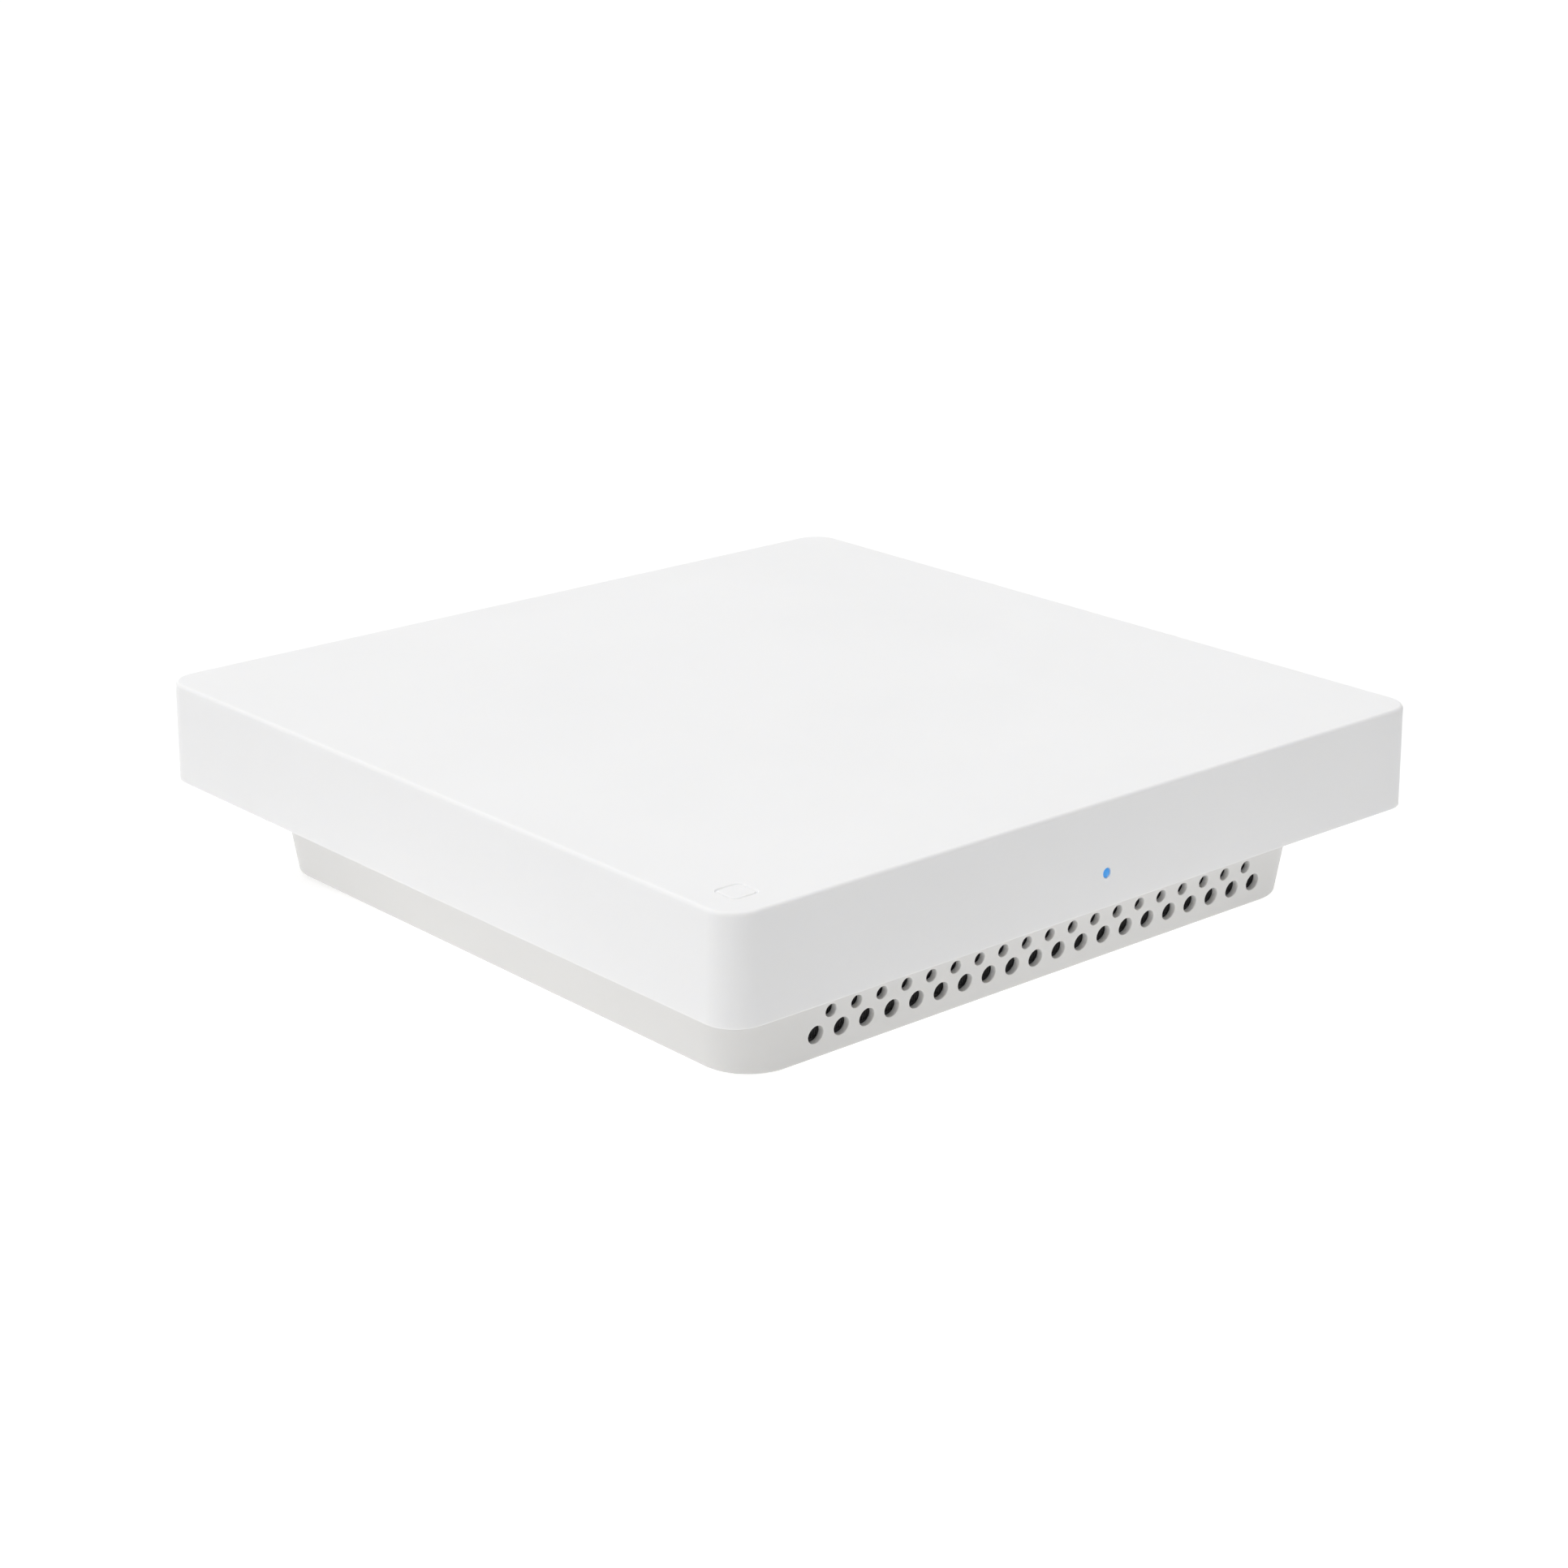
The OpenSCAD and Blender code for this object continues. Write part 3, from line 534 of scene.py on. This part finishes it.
def button_cap(node, shaft, edge, dish):
    """Turned button: a flange behind the panel, a rounded rim and a dished face."""
    flange = (high(node).x - low(node).x) / 2
    length, thick, chamfer = high(node).y - low(node).y, 0.8 * MM, 0.08 * MM
    profile = [(flange - chamfer, 0), (flange, chamfer), (flange, thick - chamfer)]
    profile += [(flange - chamfer, thick), (shaft, thick)]
    for i in range(7):
        a = math.radians(15 * i)
        profile.append((shaft - edge + edge * math.cos(a), length - edge + edge * math.sin(a)))
    face = shaft - 1.5 * edge
    for i in range(9):
        part = 1 - i / 8.3              # the last ring stays just off the middle
        profile.append((face * part, length - dish * (1 - part * part)))
    centre = Vector((middle(node).x, low(node).y, middle(node).z))
    place = Matrix.Translation(centre) @ Matrix.Rotation(math.radians(-90), 4, "X")
    return lambda bm: add_turned(bm, profile, place, 56)


def feet(bm):
    """Moulded rubber feet: rounded rim, and a shallow ring round the part that touches the table."""
    radius, top = FOOT_D / 2, FOOT_TOP
    profile = [(radius - 0.1 * MM, top), (radius, top - 0.1 * MM)]
    for i in range(7):
        a = math.radians(15 * i)
        profile.append((radius - 0.5 * MM * (1 - math.cos(a)), 0.5 * MM * (1 - math.sin(a))))
    for r, z in ((5.1, 0), (4.9, 0.18), (4.3, 0.18), (4.1, 0), (0.3, 0)):
        profile.append((r * MM, z * MM))
    for spot in corners(FOOT_POS):
        add_turned(bm, profile, Matrix.Translation(spot), 64)


def threaded_inserts(bm):
    """Brass inserts with a chamfered mouth and the grooves of their thread."""
    outer, bore, pitch = INSERT_D / 2 - 0.025 * MM, 1.65 * MM, 0.7 * MM
    start, end = low("mounting_inserts").z, high("mounting_inserts").z
    profile = [(outer - 0.15 * MM, end), (outer, end - 0.15 * MM), (outer, start + 0.2 * MM),
               (outer - 0.2 * MM, start), (bore + 0.55 * MM, start)]
    turns = int((end - start - 0.9 * MM) / pitch)
    for i in range(turns):
        z = start + 0.55 * MM + i * pitch
        profile += [(bore, z), (bore, z + 0.1 * MM), (bore + 0.32 * MM, z + pitch / 2 - 0.03 * MM)]
    profile.append((bore, end - 0.2 * MM))
    profile.append((bore + 0.2 * MM, end))
    for spot in corners(INSERT_POS):
        add_turned(bm, profile, Matrix.Translation(spot), 48, closed=True)


# ---- Materials ----

def principled(name, color, roughness, metallic=0.0, **sockets):
    """A material with its constant values set on the shader's own sockets."""
    mat = bpy.data.materials.new(name)
    mat.use_nodes = True
    shader = mat.node_tree.nodes["Principled BSDF"]
    shader.inputs["Base Color"].default_value = (*color, 1)
    shader.inputs["Roughness"].default_value = roughness
    shader.inputs["Metallic"].default_value = metallic
    for key, value in sockets.items():
        shader.inputs[key.replace("_", " ")].default_value = value
    return mat, shader


def noise(mat, scale, detail=3.0, stretch=(1, 1, 1)):
    """Noise in the frame's metres: scale is in waves to a metre, and stretch squeezes it along an axis."""
    tree = mat.node_tree
    place = tree.nodes.new("ShaderNodeTexCoord")
    grid = tree.nodes.new("ShaderNodeMapping")
    grid.inputs["Scale"].default_value = stretch
    texture = tree.nodes.new("ShaderNodeTexNoise")
    texture.inputs["Scale"].default_value = scale
    texture.inputs["Detail"].default_value = detail
    tree.links.new(place.outputs["Object"], grid.inputs["Vector"])
    tree.links.new(grid.outputs["Vector"], texture.inputs["Vector"])
    return texture.outputs["Fac"]


def spread(mat, value, start, end, ramp=(0.3, 0.7)):
    """Maps the middle of a 0 to 1 pattern onto start to end, which are numbers or colours."""
    tree = mat.node_tree
    span = tree.nodes.new("ShaderNodeMapRange")
    span.inputs["From Min"].default_value = ramp[0]
    span.inputs["From Max"].default_value = ramp[1]
    tree.links.new(value, span.inputs["Value"])
    if not isinstance(start, tuple):
        span.inputs["To Min"].default_value = start
        span.inputs["To Max"].default_value = end
        return span.outputs["Result"]
    mix = tree.nodes.new("ShaderNodeMix")
    mix.data_type = "RGBA"
    colors = [s for s in mix.inputs if s.type == "RGBA"]
    colors[0].default_value = (*start, 1)
    colors[1].default_value = (*end, 1)
    tree.links.new(span.outputs["Result"], mix.inputs["Factor"])
    return [s for s in mix.outputs if s.type == "RGBA"][0]


def bump(mat, shader, height, distance):
    """Adds a relief of that many metres on top of any that the shader has."""
    tree = mat.node_tree
    node = tree.nodes.new("ShaderNodeBump")
    node.inputs["Distance"].default_value = distance
    tree.links.new(height, node.inputs["Height"])
    if shader.inputs["Normal"].is_linked:
        tree.links.new(shader.inputs["Normal"].links[0].from_socket, node.inputs["Normal"])
    tree.links.new(node.outputs["Normal"], shader.inputs["Normal"])


def textured(name, color, roughness, grain, depth, tint=0.03, uneven=0.05, blotch=20.0, stretch=(1, 1, 1),
             metallic=0.0, **sockets):
    """A surface with a grain of that size and depth, faintly mottled colour and uneven gloss."""
    mat, shader = principled(name, color, roughness, metallic, **sockets)
    tree = mat.node_tree
    darker = tuple(c * (1 - tint) for c in color)
    lighter = tuple(min(1.0, c * (1 + tint)) for c in color)
    tree.links.new(spread(mat, noise(mat, blotch, 2), darker, lighter), shader.inputs["Base Color"])
    gloss = spread(mat, noise(mat, blotch * 4, 3, stretch), roughness - uneven, roughness + uneven)
    tree.links.new(gloss, shader.inputs["Roughness"])
    bump(mat, shader, noise(mat, 1 / grain, 2, stretch), depth)
    return mat


def shell_plastic(name, color):
    """Satin moulded plastic: fine grain, faint mottling, uneven gloss and some light under its surface."""
    return textured(name, color, 0.42, 0.4 * MM, 0.008 * MM, tint=0.008, uneven=0.035,
                    Subsurface_Weight=0.5, Subsurface_Radius=(1, 0.95, 0.85), Subsurface_Scale=0.8 * MM)


def dull_plastic(name, color, roughness=0.5):
    return textured(name, color, roughness, 0.25 * MM, 0.008 * MM, tint=0.06)


def gloss_plastic(name, color, roughness=0.12):
    return textured(name, color, roughness, 1.2 * MM, 0.004 * MM, tint=0.05, uneven=0.04)


def rubber(name, color):
    return textured(name, color, 0.72, 0.18 * MM, 0.02 * MM, tint=0.12, uneven=0.08, blotch=120)


def sheet_metal(name, color, roughness=0.28, along=(1, 12, 12)):
    """Rolled sheet, its fine lines along one axis."""
    return textured(name, color, roughness, 0.5 * MM, 0.004 * MM, tint=0.05, uneven=0.08,
                    stretch=along, metallic=1.0)


def plated(name, color, roughness, grain, depth):
    """Turned or plated metal with a fine even grain."""
    return textured(name, color, roughness, grain, depth, metallic=1.0)


def light_pipe_look(name):
    """Clear acrylic, lit blue from inside: the glow's colour varies a little at random."""
    mat, shader = principled(name, (0.02, 0.10, 0.26), 0.12, IOR=1.49, Specular_IOR_Level=0.3)
    glow = spread(mat, noise(mat, 900, 2), (0.030, 0.205, 0.50), (0.038, 0.245, 0.59))
    mat.node_tree.links.new(glow, shader.inputs["Emission Color"])
    shader.inputs["Emission Strength"].default_value = 0.9
    bump(mat, shader, noise(mat, 1500, 2), 0.01 * MM)
    return mat


def board_look(name):
    """Green solder mask over copper tracks, which show as slightly raised lighter lines."""
    mat, shader = principled(name, (0.02, 0.14, 0.06), 0.25)
    tree = mat.node_tree
    place = tree.nodes.new("ShaderNodeTexCoord")
    tracks = tree.nodes.new("ShaderNodeTexVoronoi")
    tracks.distance = "CHEBYCHEV"
    tracks.feature = "F2"
    tracks.inputs["Scale"].default_value = 320
    tree.links.new(place.outputs["Object"], tracks.inputs["Vector"])
    lines = tree.nodes.new("ShaderNodeMath")
    lines.operation = "PINGPONG"
    lines.inputs[1].default_value = 0.08
    tree.links.new(tracks.outputs["Distance"], lines.inputs[0])
    pattern = spread(mat, lines.outputs[0], (0.015, 0.10, 0.045), (0.03, 0.20, 0.08), (0.03, 0.05))
    tree.links.new(pattern, shader.inputs["Base Color"])
    gloss = spread(mat, noise(mat, 200, 3), 0.2, 0.34)
    tree.links.new(gloss, shader.inputs["Roughness"])
    bump(mat, shader, spread(mat, lines.outputs[0], 0.0, 1.0, (0.03, 0.05)), 0.02 * MM)
    return mat


LOOKS = {
    "cover_plastic": shell_plastic("cover_plastic_look", (0.742, 0.742, 0.744)),
    "base_plastic": shell_plastic("base_plastic_look", (0.692, 0.687, 0.676)),
    "panel_plastic": dull_plastic("panel_plastic_look", (0.62, 0.62, 0.61)),
    "foot_rubber": rubber("foot_rubber_look", (0.06, 0.06, 0.065)),
    "brass": plated("brass_look", (0.78, 0.56, 0.24), 0.3, 0.3 * MM, 0.01 * MM),
    "label_film": dull_plastic("label_film_look", (0.70, 0.71, 0.72), 0.35),
    "screen_mesh": dull_plastic("screen_mesh_look", (0.015, 0.015, 0.015)),
    "screw_steel": plated("screw_steel_look", (0.60, 0.60, 0.62), 0.32, 0.2 * MM, 0.01 * MM),
    "light_pipe_plastic": light_pipe_look("light_pipe_look"),
    "led_lens": gloss_plastic("led_lens_look", (0.10, 0.35, 0.80)),
    "board_laminate": board_look("board_look"),
    "chip_epoxy": dull_plastic("chip_epoxy_look", (0.025, 0.025, 0.028)),
    "crystal_can": sheet_metal("crystal_can_look", (0.66, 0.65, 0.62)),
    "capacitor_ceramic": dull_plastic("capacitor_ceramic_look", (0.42, 0.28, 0.15)),
    "thermal_pad": rubber("thermal_pad_look", (0.30, 0.38, 0.45)),
    "heatsink_aluminium": sheet_metal("heatsink_look", (0.66, 0.67, 0.69), 0.4, (12, 1, 12)),
    "shield_tinplate": sheet_metal("shield_look", (0.68, 0.68, 0.66)),
    "ferrite": dull_plastic("ferrite_look", (0.05, 0.05, 0.055), 0.6),
    "capacitor_sleeve": gloss_plastic("capacitor_sleeve_look", (0.02, 0.03, 0.10), 0.25),
    "jack_steel": sheet_metal("jack_steel_look", (0.66, 0.66, 0.66), 0.24),
    "jack_plastic": dull_plastic("jack_plastic_look", (0.018, 0.018, 0.018)),
    "contact_gold": plated("contact_gold_look", (0.90, 0.64, 0.25), 0.2, 0.3 * MM, 0.004 * MM),
    "link_light_plastic": gloss_plastic("link_light_look", (0.34, 0.46, 0.20), 0.2),
    "button_plastic": dull_plastic("button_plastic_look", (0.40, 0.41, 0.42), 0.45),
    "switch_plastic": dull_plastic("switch_plastic_look", (0.03, 0.03, 0.03)),
    "stem_plastic": dull_plastic("stem_plastic_look", (0.72, 0.68, 0.56)),
    "plate_aluminium": sheet_metal("plate_look", (0.70, 0.71, 0.72), 0.35),
    "antenna_steel": sheet_metal("antenna_look", (0.70, 0.69, 0.66)),
    "lead_jacket": gloss_plastic("lead_jacket_look", (0.20, 0.20, 0.21), 0.3),
}


def dress(obj, slot_name):
    """Gives the object that slot's look and no other."""
    obj.data.materials.clear()
    obj.data.materials.append(LOOKS[slot_name])


SLOTS = {part["node"]: part["material_slot"] for part in frame["record"]["subparts"]}
for node_name, node in NODES.items():
    dress(node, SLOTS[node_name])


def stand_for(piece, body, *nodes):
    """The piece replaces those CAD nodes, rides on their body and takes their finish."""
    slot_name = SLOTS[nodes[0]]
    dress(piece, slot_name)
    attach(piece, body)
    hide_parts(*nodes)


# ---- Assembly ----

stand_for(cover_shell(), "router", "top_cover")
stand_for(base_shell(), "router", "base_housing")

wan_wires = contact_wires(middle("wan_jack_shield").x)
lan_wires = contact_wires(middle("lan_jack_shield").x)
pairing_cap = button_cap("pairing_button", 3 * MM, 0.5 * MM, 0.3 * MM)
reset_cap = button_cap("reset_button", 1 * MM, 0.25 * MM, 0.12 * MM)
FINER = (("dust_net", "router", "dust_screen", dust_screen),
         ("clear_light_pipe", "router", "light_pipe", light_pipe),
         ("moulded_feet", "router", "rubber_feet", feet),
         ("threaded_inserts", "router", "mounting_inserts", threaded_inserts),
         ("wan_contact_wires", "router", "wan_jack_contacts", wan_wires),
         ("lan_contact_wires", "router", "lan_jack_contacts", lan_wires),
         ("pairing_cap", "pairing_button", "pairing_button", pairing_cap),
         ("reset_cap", "reset_button", "reset_button", reset_cap))
for piece_name, body_name, node_name, build in FINER:
    piece = solid(piece_name, build)
    shade(piece)
    stand_for(piece, body_name, node_name)

EASED = {"rear_panel": 0.15, "cover_screws": 0.12, "wan_jack_shield": 0.08, "lan_jack_shield": 0.08,
         "wan_jack_insert": 0.1, "lan_jack_insert": 0.1, "jack_link_lights": 0.12, "power_jack": 0.2,
         "power_jack_pin": 0.25}
for node_name, width in EASED.items():
    ease(node_name, width * MM)


# ---- Studio ----

def lobe(tree, direction, strength, power):
    """Light from one side of the room, strongest from that direction."""
    place = tree.nodes.new("ShaderNodeTexCoord")
    along = tree.nodes.new("ShaderNodeVectorMath")
    along.operation = "DOT_PRODUCT"
    along.inputs[1].default_value = Vector(direction).normalized()
    tree.links.new(place.outputs["Generated"], along.inputs[0])
    value = along.outputs["Value"]
    for operation, number in (("MAXIMUM", 0.0), ("POWER", power), ("MULTIPLY", strength)):
        step = tree.nodes.new("ShaderNodeMath")
        step.operation = operation
        step.inputs[1].default_value = number
        tree.links.new(value, step.inputs[0])
        value = step.outputs[0]
    return value


def floor_glow(tree, centre, reach, strength):
    """Pool of light painted into the floor as emission, strongest at that point and gone at that distance
    from it: it washes out the object's shadow on the floor and lights the object from below.
    """
    place = tree.nodes.new("ShaderNodeTexCoord")
    away = tree.nodes.new("ShaderNodeVectorMath")
    away.operation = "DISTANCE"
    away.inputs[1].default_value = (*centre, 0)
    fade = tree.nodes.new("ShaderNodeMapRange")
    fade.interpolation_type = "SMOOTHSTEP"
    fade.inputs["From Min"].default_value = 0
    fade.inputs["From Max"].default_value = reach
    fade.inputs["To Min"].default_value = strength
    fade.inputs["To Max"].default_value = 0
    tree.links.new(place.outputs["Object"], away.inputs[0])
    tree.links.new(away.outputs["Value"], fade.inputs["Value"])
    return fade.outputs["Result"]


def total_of(tree, values, start):
    """Adds up sockets and a starting number."""
    total = None
    for value in values:
        add = tree.nodes.new("ShaderNodeMath")
        add.inputs[1].default_value = start
        tree.links.new(value, add.inputs[0])
        if total is not None:
            tree.links.new(total, add.inputs[1])
        total = add.outputs[0]
    return total


def studio():
    """A pale room, brightest overhead, behind and at the left, and a pale floor with pools of light painted
    in as emission round the object, which wash out its shadow and light it from below.
    """
    world = bpy.data.worlds.new("studio")
    bpy.context.scene.world = world
    world.use_nodes = True
    tree = world.node_tree
    # Direction, strength and power of each lobe of light in the room.
    sides = [((0, 0, 1), 1.22, 2), ((0, 0, 1), 0.75, 8), ((-1, 0, 0), 0.56, 1), ((1, 0, 0), 0.20, 1),
             ((0, 1, 0), 0.60, 1), ((-1, 0, 0.15), 0.50, 6), ((0, 1, 0.15), 0.30, 6)]
    # Middle and reach of each painted pool of light on the floor, in halves of the cover's width, and its
    # strength.
    spots = [(0, 0, 2.0, 0.80), (-2.0, -2.0, 2.5, 0.10), (0.6, -1.1, 1.3, 0.20), (-0.6, -0.95, 0.8, 0.14)]
    room, backdrop = tree.nodes["Background"], tree.nodes.new("ShaderNodeBackground")
    for background in (room, backdrop):
        background.inputs["Color"].default_value = (1, 1, 1, 1)
    tree.links.new(total_of(tree, [lobe(tree, *side) for side in sides], 0.10), room.inputs["Strength"])
    seen = tree.nodes.new("ShaderNodeLightPath")
    either = tree.nodes.new("ShaderNodeMixShader")
    tree.links.new(seen.outputs["Is Camera Ray"], either.inputs["Fac"])
    tree.links.new(room.outputs["Background"], either.inputs[1])
    tree.links.new(backdrop.outputs["Background"], either.inputs[2])
    tree.links.new(either.outputs["Shader"], tree.nodes["World Output"].inputs["Surface"])
    bm = bmesh.new()
    bmesh.ops.create_grid(bm, x_segments=1, y_segments=1, size=HALF * 80)
    floor = mesh_object("floor", bm)
    floor.location.z = -0.05 * MM
    mat, shader = principled("floor_look", (0.88, 0.88, 0.88), 0.8)
    shader.inputs["Emission Color"].default_value = (1, 1, 1, 1)
    glows = []
    for x, y, reach, strength in spots:
        glows.append(floor_glow(mat.node_tree, (x * HALF, y * HALF), reach * HALF, strength))
    mat.node_tree.links.new(total_of(mat.node_tree, glows, 0.0), shader.inputs["Emission Strength"])
    floor.data.materials.append(mat)


# Fitted to the edges of the cover and the base in the photo.
VIEW_AZIMUTH = -41.127
VIEW_ELEVATION = 18.966
VIEW_LENS = 74.503
VIEW_DISTANCE = 7.284 * HALF
AIM_RIGHT = 0.0036 * HALF
AIM_DOWN = 0.2090 * HALF


def camera():
    """Camera at the viewing angle, as far away and as long as the perspective of the cover shows."""
    azimuth, elevation = math.radians(VIEW_AZIMUTH), math.radians(VIEW_ELEVATION)
    back = Vector((math.sin(azimuth) * math.cos(elevation), -math.cos(azimuth) * math.cos(elevation),
                   math.sin(elevation)))
    right = Vector((math.cos(azimuth), math.sin(azimuth), 0))
    up = back.cross(right)
    data = bpy.data.cameras.new("camera")
    data.sensor_width = 36
    data.lens = VIEW_LENS
    data.clip_start, data.clip_end = HALF * 0.2, HALF * 200
    cam = bpy.data.objects.new("camera", data)
    cam.rotation_mode = "QUATERNION"
    cam.rotation_quaternion = Matrix((right, up, back)).transposed().to_quaternion()
    target = Vector((0, 0, TOP)) + right * AIM_RIGHT - up * AIM_DOWN
    cam.location = target + back * VIEW_DISTANCE
    bpy.context.scene.collection.objects.link(cam)
    bpy.context.scene.camera = cam


bpy.context.scene.view_settings.view_transform = "Standard"
studio()
camera()
